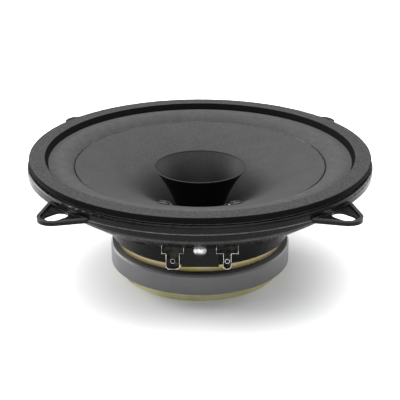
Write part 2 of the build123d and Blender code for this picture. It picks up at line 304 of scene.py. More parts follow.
def black_paint():
    """Satin black powder paint: fine orange peel and dust, with painted highlights as paler bands along its
    turned edges and on the ears' raised lip.
    """
    material, shader, tree = new_material("black_paint", (0.01, 0.01, 0.011), 0.3,
                                          Specular_IOR_Level=0.1)
    broad = noise_value(tree, 60, 3)
    colour = mixed(tree, remap(tree, noise_value(tree, 1400, 6, 0.8), 0.0, 0.45, 0.5, 0.8),
                   shades(tree, broad, (0.002, 0.002, 0.0022), (0.006, 0.006, 0.0064)),
                   (0.014, 0.014, 0.0146))
    # Painted highlights: paler, patchy bands along the basket's turned edges.
    for radius, height, width, grey in PAINTED_EDGE_HIGHLIGHTS:
        band = edge_highlight_band(tree, turned_coordinates(tree), radius * MM, height * MM, width * MM)
        patchy = times(tree, band, remap(tree, noise_value(tree, 180, 4, 0.7), 0.35, 1.0))
        colour = mixed(tree, patchy, colour, (grey, grey, grey * 1.02))
    # Painted highlight: the top of the ears' raised lip made paler.
    lip_highlight = remap(tree, height_value(tree), 0.0, 0.8, 42.5 * MM, 42.9 * MM)
    on_ears = remap(tree, radius_value(tree), 0.0, 1.0, RIM_RADIUS + 0.1 * MM, RIM_RADIUS + 0.4 * MM)
    colour = mixed(tree, times(tree, lip_highlight, on_ears), colour, (0.035, 0.035, 0.036))
    tree.links.new(colour, shader.inputs["Base Color"])
    tree.links.new(remap(tree, noise_value(tree, 900, 4), 0.18, 0.32), shader.inputs["Roughness"])
    add_bump(tree, shader, [(noise_value(tree, 900, 3), 0.00001), (noise_value(tree, 4000, 2), 0.000004)])
    return material


def yellow_zinc(name, tints, shade_heights=None):
    """Passivated zinc: metallic, drifting between four tints. The optional heights of a rim's
    edges darken the colour towards them as painted shade, leaving a lighter band between."""
    material, shader, tree = new_material(name, tints[0], 0.32, 1.0)
    patches = noise_value(tree, 70, 5, 0.5)
    tint = ramp_colour(tree, patches, list(zip((0.3, 0.43, 0.55, 0.68), tints)))
    rings = noise_value(tree, 2600, 3, 0.6, turned_coordinates(tree))
    colour = mixed(tree, 0.35, tint, shades(tree, rings, (0.3, 0.28, 0.12), (0.95, 0.9, 0.6)), "MULTIPLY")
    if shade_heights:
        # Painted shade: the side darkened towards its lower and upper edge, so a lighter band is left
        # between.
        up = remap(tree, height_value(tree), 0.0, 1.0, *shade_heights)
        painted_shade_ramp = ramp_colour(tree, up, [(0.0, (0.25, 0.23, 0.22)), (0.45, (0.7, 0.66, 0.64)),
                                         (0.72, (1, 1, 1)), (0.9, (1, 1, 1)), (0.97, (0.4, 0.4, 0.36))])
        colour = mixed(tree, 1.0, colour, painted_shade_ramp, "MULTIPLY")
    tree.links.new(colour, shader.inputs["Base Color"])
    tree.links.new(remap(tree, noise_value(tree, 500, 4), 0.24, 0.44), shader.inputs["Roughness"])
    add_bump(tree, shader, [(rings, 0.00003), (noise_value(tree, 2500, 3), 0.00001)])
    return material


def ferrite():
    """Ground ferrite: satin blue-grey with a fine grain and faint grinding rings."""
    material, shader, tree = new_material("ferrite", (0.12, 0.12, 0.135), 0.42)
    grain = noise_value(tree, 1500, 6, 0.75)
    cloud = noise_value(tree, 70, 4)
    colour = mixed(tree, 0.5, shades(tree, grain, (0.07, 0.07, 0.073), (0.14, 0.138, 0.143)),
                   shades(tree, cloud, (0.085, 0.085, 0.088), (0.13, 0.128, 0.133)))
    tree.links.new(colour, shader.inputs["Base Color"])
    tree.links.new(remap(tree, grain, 0.34, 0.55), shader.inputs["Roughness"])
    rings = noise_value(tree, 1800, 2, 0.5, turned_coordinates(tree))
    add_bump(tree, shader, [(grain, 0.00004), (rings, 0.00002)])
    return material


def cone_paper():
    """Felted paper pulp: pale fibres in a dark sheet, darkened towards the neck as painted shade."""
    material, shader, tree = new_material("cone_paper", (0.07, 0.07, 0.072), 0.8,
                                          Specular_IOR_Level=0.12)
    pulp = noise_value(tree, 1300, 7, 0.75)
    cloud = noise_value(tree, 120, 4)
    base = shades(tree, pulp, (0.02, 0.02, 0.0203), (0.064, 0.064, 0.065))
    colour = mixed(tree, 0.3, base, shades(tree, cloud, (0.03, 0.03, 0.0305), (0.05, 0.05, 0.0507)))
    # Painted shade: the cone darkened towards its neck, round the whizzer.
    neck_shade = remap(tree, radius_value(tree), 0.5, 0.0, 21 * MM, 28 * MM)
    colour = mixed(tree, neck_shade, colour, (0.008, 0.008, 0.008))
    tree.links.new(colour, shader.inputs["Base Color"])
    tree.links.new(remap(tree, pulp, 0.68, 0.88), shader.inputs["Roughness"])
    add_bump(tree, shader, [(pulp, 0.00006), (noise_value(tree, 320, 4), 0.00004)])
    return material


def whizzer_paper():
    """Thin hard paper, calendered smooth: grey inside, darkened towards its narrow end and near black on
    its outer face, both as painted shade.
    """
    material, shader, tree = new_material("whizzer_paper", (0.03, 0.03, 0.031), 0.5,
                                          Specular_IOR_Level=0.12)
    fibre = noise_value(tree, 1500, 6, 0.7)
    inside = shades(tree, fibre, (0.011, 0.011, 0.0112), (0.032, 0.032, 0.0325))
    # Painted shade: the inside darkened towards the narrow end of the horn.
    throat_shade = remap(tree, radius_value(tree), 0.8, 0.0, 11.5 * MM, 15.5 * MM)
    inside = mixed(tree, throat_shade, inside, (0.006, 0.006, 0.006))
    # Painted shade: faces that look down are made near black.
    outside = shades(tree, fibre, (0.002, 0.002, 0.002), (0.006, 0.006, 0.006))
    tree.links.new(mixed(tree, upward_mask(tree, -0.1, 0.1), outside, inside),
                   shader.inputs["Base Color"])
    tree.links.new(remap(tree, fibre, 0.48, 0.68), shader.inputs["Roughness"])
    add_bump(tree, shader, [(fibre, 0.00003)])
    return material


def dust_cap_felt():
    """Black treated felt dome."""
    material, shader, tree = new_material("dust_cap_felt", (0.008, 0.008, 0.009), 0.8,
                                          Specular_IOR_Level=0.05)
    fibre = noise_value(tree, 2600, 6, 0.8)
    tree.links.new(shades(tree, fibre, (0.003, 0.003, 0.0032), (0.014, 0.014, 0.0145)),
                   shader.inputs["Base Color"])
    add_bump(tree, shader, [(fibre, 0.00005)])
    return material


def surround_foam():
    """Matte grey foam: a fine closed cell with cloudy tone, dark along its joint with the cone."""
    material, shader, tree = new_material("surround_foam", (0.07, 0.07, 0.072), 0.85,
                                          Specular_IOR_Level=0.12)
    cells = cell_value(tree, 3200)
    cloud = noise_value(tree, 260, 5, 0.65)
    colour = mixed(tree, 0.45, shades(tree, cells, (0.02, 0.02, 0.0203), (0.066, 0.066, 0.067), 0.1, 0.6),
                   shades(tree, cloud, (0.028, 0.028, 0.0284), (0.06, 0.06, 0.061)))
    joint = remap(tree, radius_value(tree), 1.0, 0.0, 47.45 * MM, 47.8 * MM)
    colour = mixed(tree, joint, colour, (0.004, 0.004, 0.004))
    tree.links.new(colour, shader.inputs["Base Color"])
    add_bump(tree, shader, [(cells, 0.00006), (cloud, 0.00005)])
    return material


def gasket_foam():
    """Sealing foam: open grey grain with pale specks on top, its walls near black as painted shade."""
    material, shader, tree = new_material("gasket_foam", (0.05, 0.05, 0.053), 0.85,
                                          Specular_IOR_Level=0.04)
    grain = noise_value(tree, 1100, 7, 0.8)
    pits = cell_value(tree, 1700)
    base = shades(tree, grain, (0.014, 0.014, 0.0143), (0.064, 0.064, 0.065))
    specks = remap(tree, noise_value(tree, 2300, 2, 0.5), 0.0, 0.5, 0.66, 0.72)
    open_face = mixed(tree, specks, base, (0.16, 0.16, 0.16))
    # Painted shade: faces that don't look up are made near black.
    shaded_walls = shades(tree, grain, (0.0015, 0.0015, 0.0015), (0.005, 0.005, 0.005))
    tree.links.new(mixed(tree, upward_mask(tree, 0.75, 0.97), shaded_walls, open_face), shader.inputs["Base Color"])
    tree.links.new(remap(tree, grain, 0.75, 0.95), shader.inputs["Roughness"])
    add_bump(tree, shader, [(grain, 0.00012), (pits, 0.00005)])
    return material


def spider_cloth():
    """Resin-stiffened cotton, amber, in a plain weave."""
    material, shader, tree = new_material("spider_cloth", (0.38, 0.25, 0.09), 0.75)
    thread = times(tree, wave_value(tree, "X", 330, 0.6), wave_value(tree, "Y", 330, 0.6))
    stain = noise_value(tree, 90, 4)
    colour = mixed(tree, 0.5, shades(tree, thread, (0.16, 0.1, 0.03), (0.42, 0.28, 0.1), 0.0, 0.7),
                   shades(tree, stain, (0.26, 0.16, 0.05), (0.42, 0.29, 0.12)))
    tree.links.new(colour, shader.inputs["Base Color"])
    add_bump(tree, shader, [(thread, 0.00009)])
    return material


def black_lacquer():
    """Thick glossy lacquer, black and slightly blotched."""
    material, shader, tree = new_material("black_lacquer", (0.01, 0.01, 0.011), 0.15,
                                          Specular_IOR_Level=0.5)
    blotch = noise_value(tree, 500, 3)
    tree.links.new(shades(tree, blotch, (0.001, 0.001, 0.001), (0.006, 0.006, 0.006)),
                   shader.inputs["Base Color"])
    tree.links.new(remap(tree, blotch, 0.12, 0.26), shader.inputs["Roughness"])
    add_bump(tree, shader, [(noise_value(tree, 700, 3), 0.00005)])
    return material


def enamelled_wire():
    """Braided copper soaked in black lacquer, its strands showing through as dull metal."""
    material, shader, tree = new_material("enamelled_wire", (0.1, 0.09, 0.08), 0.25, 0.7)
    strands = noise_value(tree, 1500, 5, 0.8)
    tree.links.new(shades(tree, strands, (0.003, 0.003, 0.003), (0.1, 0.095, 0.09), 0.4, 0.72),
                   shader.inputs["Base Color"])
    tree.links.new(remap(tree, strands, 0.15, 0.35), shader.inputs["Roughness"])
    add_bump(tree, shader, [(strands, 0.00008)])
    return material


def glue_bead():
    """Dark brown rubber glue, lumpy and half glossy."""
    material, shader, tree = new_material("glue_bead", (0.02, 0.018, 0.016), 0.25)
    lump = noise_value(tree, 400, 3)
    tree.links.new(shades(tree, lump, (0.014, 0.013, 0.012), (0.04, 0.036, 0.03)),
                   shader.inputs["Base Color"])
    add_bump(tree, shader, [(lump, 0.0002)])
    return material


def fibre_board(name, dark, light):
    """Pressed fibre board: mottled, with a fine grain."""
    material, shader, tree = new_material(name, light, 0.6, Specular_IOR_Level=0.15)
    grain = noise_value(tree, 2100, 6, 0.75)
    tree.links.new(shades(tree, grain, dark, light), shader.inputs["Base Color"])
    tree.links.new(remap(tree, grain, 0.5, 0.72), shader.inputs["Roughness"])
    add_bump(tree, shader, [(grain, 0.00004)])
    return material


def bright_metal(name, dark, light, roughness):
    """Plated metal with fine scratches and a slightly cloudy lustre."""
    material, shader, tree = new_material(name, light, roughness, 1.0)
    cloud = noise_value(tree, 420, 5, 0.65)
    tree.links.new(shades(tree, cloud, dark, light), shader.inputs["Base Color"])
    tree.links.new(remap(tree, noise_value(tree, 1500, 4), roughness * 0.7, roughness * 1.4),
                   shader.inputs["Roughness"])
    add_bump(tree, shader, [(noise_value(tree, 1800, 4, 0.7), 0.00002)])
    return material


def painted_glint_tin():
    """Tin plate: faces near black as a painted dark reflection, with painted glints along its edges."""
    material, shader, tree = new_material("painted_glint_tin", (0.2, 0.2, 0.19), 0.22, 1.0)
    cloud = noise_value(tree, 300, 5, 0.65)
    # Painted dark reflection: the faces kept near black.
    face = shades(tree, cloud, (0.004, 0.004, 0.003), (0.03, 0.028, 0.024), 0.4, 0.8)
    # Painted glints: bright patches along the sharp edges.
    patches = remap(tree, noise_value(tree, 420, 3), 0.2, 1.0, 0.4, 0.58)
    painted_glints = times(tree, edge_mask(tree, 0.3 * MM), patches)
    tree.links.new(mixed(tree, painted_glints, face, (0.9, 0.9, 0.88)), shader.inputs["Base Color"])
    tree.links.new(remap(tree, noise_value(tree, 1500, 4), 0.16, 0.32), shader.inputs["Roughness"])
    add_bump(tree, shader, [(noise_value(tree, 1800, 4, 0.7), 0.00002)])
    return material


def painted_highlight_rivet(height):
    """Nickelled rivet, dark, with a painted highlight as a bright band across its head."""
    material, shader, tree = new_material("painted_highlight_rivet", (0.05, 0.05, 0.05), 0.25, 1.0)
    up = height_value(tree)
    # Painted highlight: a bright band across the head's middle height, dark above and below.
    fading_in = remap(tree, up, 0.0, 1.0, height - 1.3 * MM, height + 0.1 * MM)
    fading_out = remap(tree, up, 1.0, 0.0, height + 0.6 * MM, height + 1.7 * MM)
    scuffs = noise_value(tree, 500, 4)
    bright = shades(tree, scuffs, (0.16, 0.16, 0.16), (0.62, 0.62, 0.6), 0.42, 0.6)
    tree.links.new(mixed(tree, times(tree, fading_in, fading_out), (0.03, 0.03, 0.03), bright),
                   shader.inputs["Base Color"])
    add_bump(tree, shader, [(scuffs, 0.00004)])
    return material


def copper_winding():
    """Enamelled copper wire: close turns, one wire high."""
    material, shader, tree = new_material("copper_winding", (0.6, 0.22, 0.08), 0.3, 1.0)
    turns = wave_value(tree, "Z", 1600)
    tree.links.new(shades(tree, turns, (0.25, 0.07, 0.02), (0.7, 0.28, 0.1), 0.1, 0.8),
                   shader.inputs["Base Color"])
    add_bump(tree, shader, [(turns, 0.0001)])
    return material


# ======== mesh tools ========
def new_mesh(name, vertices, faces):
    mesh = bpy.data.meshes.new(name)
    mesh.from_pydata(vertices, [], faces)
    return mesh


def arc_through(a, b, c, steps):
    """Points on the circle arc from a through b to c, each (radius, height)."""
    (ax, ay), (bx, by), (cx, cy) = a, b, c
    d = 2 * (ax * (by - cy) + bx * (cy - ay) + cx * (ay - by))
    sa, sb, sc = ax * ax + ay * ay, bx * bx + by * by, cx * cx + cy * cy
    ux = (sa * (by - cy) + sb * (cy - ay) + sc * (ay - by)) / d
    uy = (sa * (cx - bx) + sb * (ax - cx) + sc * (bx - ax)) / d
    radius = math.hypot(ax - ux, ay - uy)
    start = math.atan2(ay - uy, ax - ux)
    middle = math.atan2(by - uy, bx - ux)
    end = math.atan2(cy - uy, cx - ux)
    sweep = (end - start) % (2 * math.pi)
    if (middle - start) % (2 * math.pi) > sweep:
        sweep -= 2 * math.pi
    return [(ux + radius * math.cos(start + sweep * i / steps),
             uy + radius * math.sin(start + sweep * i / steps)) for i in range(steps + 1)]


def bead_loop(radius, height, half_width, half_height, steps=12):
    """A closed oval outline round a middle at a radius and height."""
    turns = [2 * math.pi * k / steps for k in range(steps)]
    return [(radius + half_width * math.cos(t), height + half_height * math.sin(t)) for t in turns]


def rounded_loop(corners, steps=6):
    """A closed outline whose corners, each (x, y, radius), are rounded by arcs."""
    points = []
    count = len(corners)
    for i, (x, y, radius) in enumerate(corners):
        corner = Vector((x, y))
        back = (Vector(corners[i - 1][:2]) - corner).normalized()
        ahead = (Vector(corners[(i + 1) % count][:2]) - corner).normalized()
        half = back.angle(ahead) / 2
        if radius <= 0:
            points.append((x, y))
            continue
        reach = radius / math.tan(half)
        centre = corner + (back + ahead).normalized() * radius / math.sin(half)
        first = corner + back * reach - centre
        last = corner + ahead * reach - centre
        turn = first.angle_signed(last)
        for k in range(steps + 1):
            spoke = first.copy()
            spoke.rotate(Matrix.Rotation(-turn * k / steps, 2))
            points.append((centre.x + spoke.x, centre.y + spoke.y))
    return points


def subdivided(loop, step):
    """The closed outline with points no further apart than step."""
    points = []
    for i, start in enumerate(loop):
        end = loop[(i + 1) % len(loop)]
        cuts = max(1, round(math.dist(start, end) / step))
        points += [(start[0] + (end[0] - start[0]) * k / cuts,
                    start[1] + (end[1] - start[1]) * k / cuts) for k in range(cuts)]
    return points


def shell_loop(line, thickness):
    """A closed outline that follows a middle line at half the thickness each side."""
    line = [Vector(p) for p in line]
    left, right = [], []
    for i, point in enumerate(line):
        ahead = line[min(i + 1, len(line) - 1)] - line[max(i - 1, 0)]
        normal = Vector((-ahead.y, ahead.x)).normalized() * thickness / 2
        left.append(point + normal)
        right.append(point - normal)

    def cap(end, start_spoke):
        return [end + Matrix.Rotation(-math.pi * k / 6, 2) @ start_spoke for k in range(1, 6)]

    last_cap = cap(line[-1], left[-1] - line[-1])
    first_cap = cap(line[0], right[0] - line[0])
    return [tuple(p) for p in left + last_cap + right[::-1] + first_cap]


def finish_mesh(name, mesh, material, body=None, smooth_angle=40):
    """Outward normals, smooth shading with sharp corners, and an object."""
    tool = bmesh.new()
    tool.from_mesh(mesh)
    bmesh.ops.recalc_face_normals(tool, faces=tool.faces)
    tool.to_mesh(mesh)
    tool.free()
    mesh.polygons.foreach_set("use_smooth", [True] * len(mesh.polygons))
    mesh.set_sharp_from_angle(angle=math.radians(smooth_angle))
    mesh.materials.append(material)
    piece = bpy.data.objects.new(name, mesh)
    bpy.context.scene.collection.objects.link(piece)
    if body:
        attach(piece, body)
    return piece


def turned_mesh(name, loop, segments=ROUND):
    """Turns a closed (radius, height) outline round the axis. Radius 0 is a pole."""
    vertices, faces, rings = [], [], []
    for radius, height in loop:
        if radius < 1e-7:
            rings.append([len(vertices)] * segments)
            vertices.append((0, 0, height))
            continue
        rings.append(list(range(len(vertices), len(vertices) + segments)))
        for k in range(segments):
            turn = 2 * math.pi * k / segments
            vertices.append((radius * math.cos(turn), radius * math.sin(turn), height))
    count = len(rings)
    for i in range(count):
        inner, outer = rings[i], rings[(i + 1) % count]
        if inner[0] == inner[1] and outer[0] == outer[1]:
            continue
        for k in range(segments):
            n = (k + 1) % segments
            corners = [inner[k], inner[n], outer[n], outer[k]]
            faces.append(list(dict.fromkeys(corners)))
    return new_mesh(name, vertices, faces)


def carried_frames(points, across):
    """Two directions square to a line at each of its points, carried along without twisting."""
    frames = []
    for i in range(len(points)):
        ahead = (points[min(i + 1, len(points) - 1)] - points[max(i - 1, 0)]).normalized()
        across = (across - ahead * across.dot(ahead)).normalized()
        frames.append((across, ahead.cross(across)))
    return frames


def tubes_mesh(name, strands, sides=12):
    """Round tubes, each through its points with its radii, closed at both ends."""
    vertices, faces = [], []
    for points, radii in strands:
        base = len(vertices)
        across = (points[1] - points[0]).orthogonal().normalized()
        for point, radius, (x, y) in zip(points, radii, carried_frames(points, across)):
            for k in range(sides):
                turn = 2 * math.pi * k / sides
                vertices.append(point + (x * math.cos(turn) + y * math.sin(turn)) * radius)
        for i in range(len(points) - 1):
            row = base + i * sides
            for k in range(sides):
                n = (k + 1) % sides
                faces.append([row + k, row + n, row + sides + n, row + sides + k])
        last = base + (len(points) - 1) * sides
        faces.append([base + k for k in range(sides)][::-1])
        faces.append([last + k for k in range(sides)])
    return new_mesh(name, vertices, faces)


def smooth_route(corners, steps=26):
    """Quadratic curve that leaves the first corner and rounds off each of the others."""
    points = []
    for i in range(1, len(corners) - 1):
        last = i == len(corners) - 2
        start = corners[0] if i == 1 else (corners[i - 1] + corners[i]) / 2
        end = corners[-1] if last else (corners[i] + corners[i + 1]) / 2
        for k in range(steps + last):
            t = k / steps
            points.append(start * (1 - t) ** 2 + corners[i] * 2 * t * (1 - t) + end * t ** 2)
    return points


def plate_mesh(name, grid, underside):
    """A closed plate: a grid of points on top, the same grid moved by underside below."""
    rows, columns = len(grid) - 1, len(grid[0]) - 1
    top = [point for row in grid for point in row]
    count = len(top)
    faces = []
    for i in range(rows):
        for j in range(columns):
            a = i * (columns + 1) + j
            quad = [a, a + 1, a + columns + 2, a + columns + 1]
            faces.append(quad)
            faces.append([v + count for v in quad[::-1]])
    border = list(range(columns))
    border += [i * (columns + 1) + columns for i in range(rows)]
    border += [rows * (columns + 1) + j for j in range(columns, 0, -1)]
    border += [i * (columns + 1) for i in range(rows, 0, -1)]
    for a, b in zip(border, border[1:] + border[:1]):
        faces.append([a, b, b + count, a + count])
    return new_mesh(name, top + [underside(point) for point in top], faces)


def roughen(mesh, depth, size, seed=0.0):
    """Moves each vertex a little along its normal, by smooth noise."""
    offset = Vector((seed, seed * 1.7, seed * 0.3))
    moves = []
    for vertex in mesh.vertices:
        moves.append(vertex.normal * depth * noise.noise(vertex.co / size + offset))
    for vertex, move in zip(mesh.vertices, moves):
        vertex.co += move


def radial_blend(piece):
    """Bakes the piece's placement into its mesh."""
    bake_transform(piece)


# ======== shapes shared by several pieces ========
CONE_EDGE_RADIUS = 46.9 * MM
CONE_LINE = arc_through((8.62 * MM, 24.1 * MM), (26.7 * MM, 35.77 * MM), (46.96 * MM, 43.26 * MM), 72)
CONE_THICKNESS = 0.5 * MM
TYPICAL_SLOPE = math.radians(25)   # of the cone where the lead strips lie


def cone_front(radius):
    """Height of the cone's front surface at a radius."""
    heights = np.interp(radius, [p[0] for p in CONE_LINE], [p[1] for p in CONE_LINE])
    return float(heights) + CONE_THICKNESS / 2 / math.cos(TYPICAL_SLOPE)


# ======== pieces ========
def make_gasket(material):
    """Foam ring with rough faces and soft corners, its inner wall leaning outwards."""
    low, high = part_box("gasket")
    foot_inner, top_inner, outer = 57 * MM, 58.3 * MM, high.x
    loop = rounded_loop([
        (foot_inner, low.z, 0.15 * MM), (outer, low.z, 0.25 * MM), (outer, high.z, 0.45 * MM),
        (top_inner, high.z, 0.3 * MM)])
    mesh = turned_mesh("gasket_ring", subdivided(loop, 0.5 * MM), 720)
    mesh.update()
    roughen(mesh, 0.05 * MM, 1.6 * MM, 3.1)
    piece = finish_mesh("gasket_ring", mesh, material, FRAME_BODY)
    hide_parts("gasket")


def make_surround(material):
    """Outer lip under the gasket, shallow roll, and an inner lip under the cone."""
    thickness = 0.5 * MM
    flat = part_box("gasket")[0].z - thickness / 2
    roll_outer, roll_middle, roll_inner = 56.5 * MM, 51.9 * MM, 47.6 * MM
    line = [(radius * MM, flat) for radius in (63.6, 61.5, 59.5, 58, 57.2)]
    line += arc_through((roll_outer, flat), (roll_middle, flat + 0.25 * MM), (roll_inner, 42.86 * MM), 40)
    line += [(47.1 * MM, 42.68 * MM), (45.5 * MM, 42.2 * MM), (43.9 * MM, 41.72 * MM)]
    mesh = turned_mesh("surround_roll", shell_loop(line, thickness), 480)
    mesh.update()
    roughen(mesh, 0.03 * MM, 1.1 * MM, 7.7)
    piece = finish_mesh("surround_roll", mesh, material, smooth_angle=60)
    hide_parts("surround")
    radial_blend(piece)


def make_cone(material):
    """Curved paper shell, very slightly uneven."""
    mesh = turned_mesh("paper_cone", shell_loop(CONE_LINE, CONE_THICKNESS), 384)
    mesh.update()
    roughen(mesh, 0.02 * MM, 1.4 * MM, 1.3)
    piece = finish_mesh("paper_cone", mesh, material, CONE_BODY)
    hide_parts("cone")


def make_whizzer(material):
    """Flared thin horn with its rim rolled into a small bead."""
    rim_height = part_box("whizzer_cone")[1].z
    bead_radius = 0.28 * MM
    line = arc_through((8.72 * MM, 25.5 * MM), (11.87 * MM, 33.35 * MM),
                       (17.25 * MM, rim_height - 0.3 * MM), 48)
    mesh = turned_mesh("whizzer_horn", shell_loop(line, 0.34 * MM))
    piece = finish_mesh("whizzer_horn", mesh, material, CONE_BODY)
    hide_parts("whizzer_cone")
    bead = bead_loop(17.24 * MM, rim_height - bead_radius, bead_radius, bead_radius)
    rim = finish_mesh("whizzer_rim_bead", turned_mesh("whizzer_rim_bead", bead), material, CONE_BODY)


def make_dust_cap(material, glue_material):
    """Thin dome with a narrow flange, and the ring of glue that holds it."""
    thickness, flange_width = 0.34 * MM, 0.5 * MM
    low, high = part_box("dust_cap")
    radius, rise = high.x, high.z - low.z
    dome = arc_through((0, high.z), (radius * 0.55, low.z + rise * 0.72),
                       (radius - flange_width, low.z + 0.25 * MM), 24)
    flange = [(radius, low.z + 0.12 * MM), (radius, low.z), (radius - flange_width, low.z)]
    inside = [(r, h - thickness) for r, h in dome[::-1][1:]]
    mesh = turned_mesh("dust_cap_dome", dome + flange + inside)
    piece = finish_mesh("dust_cap_dome", mesh, material, CONE_BODY)
    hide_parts("dust_cap")
    bead = bead_loop(9.62 * MM, low.z + 0.3 * MM, 0.22 * MM, 0.2 * MM)
    mesh = turned_mesh("dust_cap_glue_ring", bead)
    ring = finish_mesh("dust_cap_glue_ring", mesh, glue_material, CONE_BODY)


def make_spider(material):
    """Corrugated centring cloth, fixed on the spider ring and on the voice coil."""
    middle, wave_height = 21.5 * MM, 0.8 * MM
    waves_start, waves_width, waves = 12, 16, 4
    line = [(8.75 * MM, middle + 0.3 * MM), (9.1 * MM, middle), (11 * MM, middle)]
    for i in range(97):
        share = i / 96
        easing = math.sin(math.pi * min(12 * share, 0.5))
        line.append(((waves_start + waves_width * share) * MM,
                     middle + wave_height * math.sin(2 * math.pi * waves * share) * easing))
    line += [(29 * MM, middle), (30 * MM, middle), (32.6 * MM, middle)]
    mesh = turned_mesh("spider_disc", shell_loop(line, 0.34 * MM), 240)
    piece = finish_mesh("spider_disc", mesh, material, smooth_angle=60)
    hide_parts("spider")
    radial_blend(piece)


# Each tinsel lead from its eyelet: outwards, sideways from the eyelet, and height, in mm.
TINSEL_ROUTES = {
    "negative": [(0, 0, 36.25), (0, 0, 33.1), (3.2, -1.2, 30.6), (6.8, -2.2, 29.9), (9.9, -2.8, 30.6),
                 (12.1, -3.0, 30.65)],
    "positive": [(0, 0, 36.25), (0, 0, 33.0), (3.5, 1.0, 30.4), (7.0, 2.1, 30.1), (9.8, 2.8, 30.6),
                 (12.1, 2.9, 30.65)],
}


def lead_frame(side):
    """Directions out along a lead and across it."""
    turn = TERMINAL_TURN + side * LEAD_TURN
    out = Vector((math.cos(turn), math.sin(turn), 0))
    return out, Vector((-out.y, out.x, 0))


def on_cone(out, across, reach, aside, rise):
    """Point at a distance out and aside, standing so far above the cone's front."""
    point = out * reach + across * aside
    return Vector((point.x, point.y, cone_front(math.hypot(reach, aside)) + rise))


def strip_half_width(reach, pad_radius):
    """The channel narrows outwards, and ends in a round pad over the eyelet."""
    start, end = 11.5 * MM, 29 * MM
    strip = (2.45 - 0.65 * (reach - start) / (end - start)) * MM if reach < end else 0
    pad = math.sqrt(max(0.0, pad_radius ** 2 - (reach - EYELET_CIRCLE) ** 2))
    return max(strip, pad, 0.05 * MM)


def strip_height(reach, aside, share, pad_radius, side):
    """Lacquer height over the paper: two ridges along the channel, a dome on the pad."""
    edge = max(0.0, 1 - share ** 2) ** 0.35
    ridge = math.exp(-((abs(share) - 0.8) / 0.13) ** 2)
    from_eyelet = math.hypot(reach - EYELET_CIRCLE, aside) / pad_radius
    on_pad = min(1.0, max(0.0, (1.15 - from_eyelet) / 0.3))
    dome = math.sqrt(max(0.0, 1 - from_eyelet ** 2))
    lumps = noise.noise(Vector((reach, aside, side * MM)) / (1.1 * MM))
    return (edge * (0.14 + 0.34 * ridge * (1 - on_pad)) + dome + 0.05 * edge * lumps) * MM


def make_lead_strip(pole, side, material):
    """Lacquered channel over a lead-out wire, from under the whizzer to a pad on its eyelet."""
    out, across = lead_frame(side)
    pad_radius, sunk = 3.0 * MM, 0.08 * MM
    start, end = 11.5 * MM, EYELET_CIRCLE + pad_radius
    rows, columns = 110, 30
    grid = []
    for i in range(rows + 1):
        reach = start + (end - start) * (1 - (1 - i / rows) ** 1.35)
        half = strip_half_width(reach, pad_radius)
        row = []
        for j in range(columns + 1):
            share = 2 * j / columns - 1
            height = strip_height(reach, share * half, share, pad_radius, side)
            row.append(on_cone(out, across, reach, share * half, height))
        grid.append(row)

    def into_paper(point):
        return Vector((point.x, point.y, cone_front(math.hypot(point.x, point.y)) - sunk))

    mesh = plate_mesh("lead_strip_" + pole, grid, into_paper)
    piece = finish_mesh("lead_strip_" + pole, mesh, material, CONE_BODY, 60)
    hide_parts("lead_lacquer_" + pole)


def make_lead_wire(pole, side, material):
    """The coil's two-strand wire: it wanders down the channel and wraps round the eyelet."""
    out, across = lead_frame(side)
    wire_radius = 0.24
    for strand in (0, 1):
        points, radii = [], []
        for i in range(80):
            share = i / 79
            twist = 9 * share + math.pi * strand + side
            sway = 0.42 * math.sin(twist) + 0.16 * math.sin(23 * share + side)
            lift = 0.42 + 0.2 * math.cos(twist)
            points.append(on_cone(out, across, (20 + 8.6 * share) * MM, sway * MM, lift * MM))
            radii.append(wire_radius * MM)
        joined = points[-1]
        spin, turns = (1, 1.45) if strand else (-1, 1.1)
        for i in range(1, 90):
            share = i / 89
            turn = math.pi + spin * share * 2 * math.pi * turns
            ring = (2.05 - 0.8 * share + 0.12 * math.sin(5 * turn)) * MM
            point = on_cone(out, across, EYELET_CIRCLE + ring * math.cos(turn), ring * math.sin(turn),
                            (0.8 + 0.35 * share + 0.1 * strand) * MM)
            points.append(joined.lerp(point, min(1.0, share * 6)))
            radii.append((wire_radius - 0.05 * share) * MM)
        name = "lead_wire_" + pole + "_" + "ab"[strand]
        piece = finish_mesh(name, tubes_mesh(name, [(points, radii)]), material, CONE_BODY, 60)


def terminal_direction():
    return Vector((math.cos(TERMINAL_TURN), math.sin(TERMINAL_TURN), 0))


def terminal_point(out, aside, height):
    """Point given in mm outwards, sideways and up from the direction of the terminals."""
    direction = terminal_direction()
    sideways = Vector((-direction.y, direction.x, 0))
    return (direction * out + sideways * aside + Vector((0, 0, height))) * MM


def make_tinsel_lead(pole, side, route, material):
    """Braid of eight strands from the eyelet's tail to the solder lug."""
    strand_count, strand_radius, core_radius = 8, 0.15 * MM, 0.27 * MM
    eyelet_out = EYELET_CIRCLE / MM * math.cos(LEAD_TURN)
    eyelet_aside = side * EYELET_CIRCLE / MM * math.sin(LEAD_TURN)
    line = smooth_route([terminal_point(eyelet_out + out, eyelet_aside + aside, height)
                         for out, aside, height in route])
    frames = carried_frames(line, Vector((0, 0, 1)).cross(line[-1] - line[-2]).normalized())
    strands = []
    for k in range(strand_count):
        spin = 1 if k % 2 else -1
        points, travelled = [], 0.0
        for i, (point, (x, y)) in enumerate(zip(line, frames)):
            travelled += (point - line[max(i - 1, 0)]).length
            turn = 2 * math.pi * k / strand_count + spin * travelled / (0.55 * MM)
            orbit = (0.35 + 0.045 * spin * math.cos(4 * turn)) * MM
            points.append(point + (x * math.cos(turn) + y * math.sin(turn)) * orbit)
        strands.append((points, [strand_radius] * len(points)))
    strands.append((line, [core_radius] * len(line)))
    name = "tinsel_braid_" + pole
    piece = finish_mesh(name, tubes_mesh(name, strands, 8), material, None, 60)
    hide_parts("tinsel_lead_" + pole)
    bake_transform(piece)


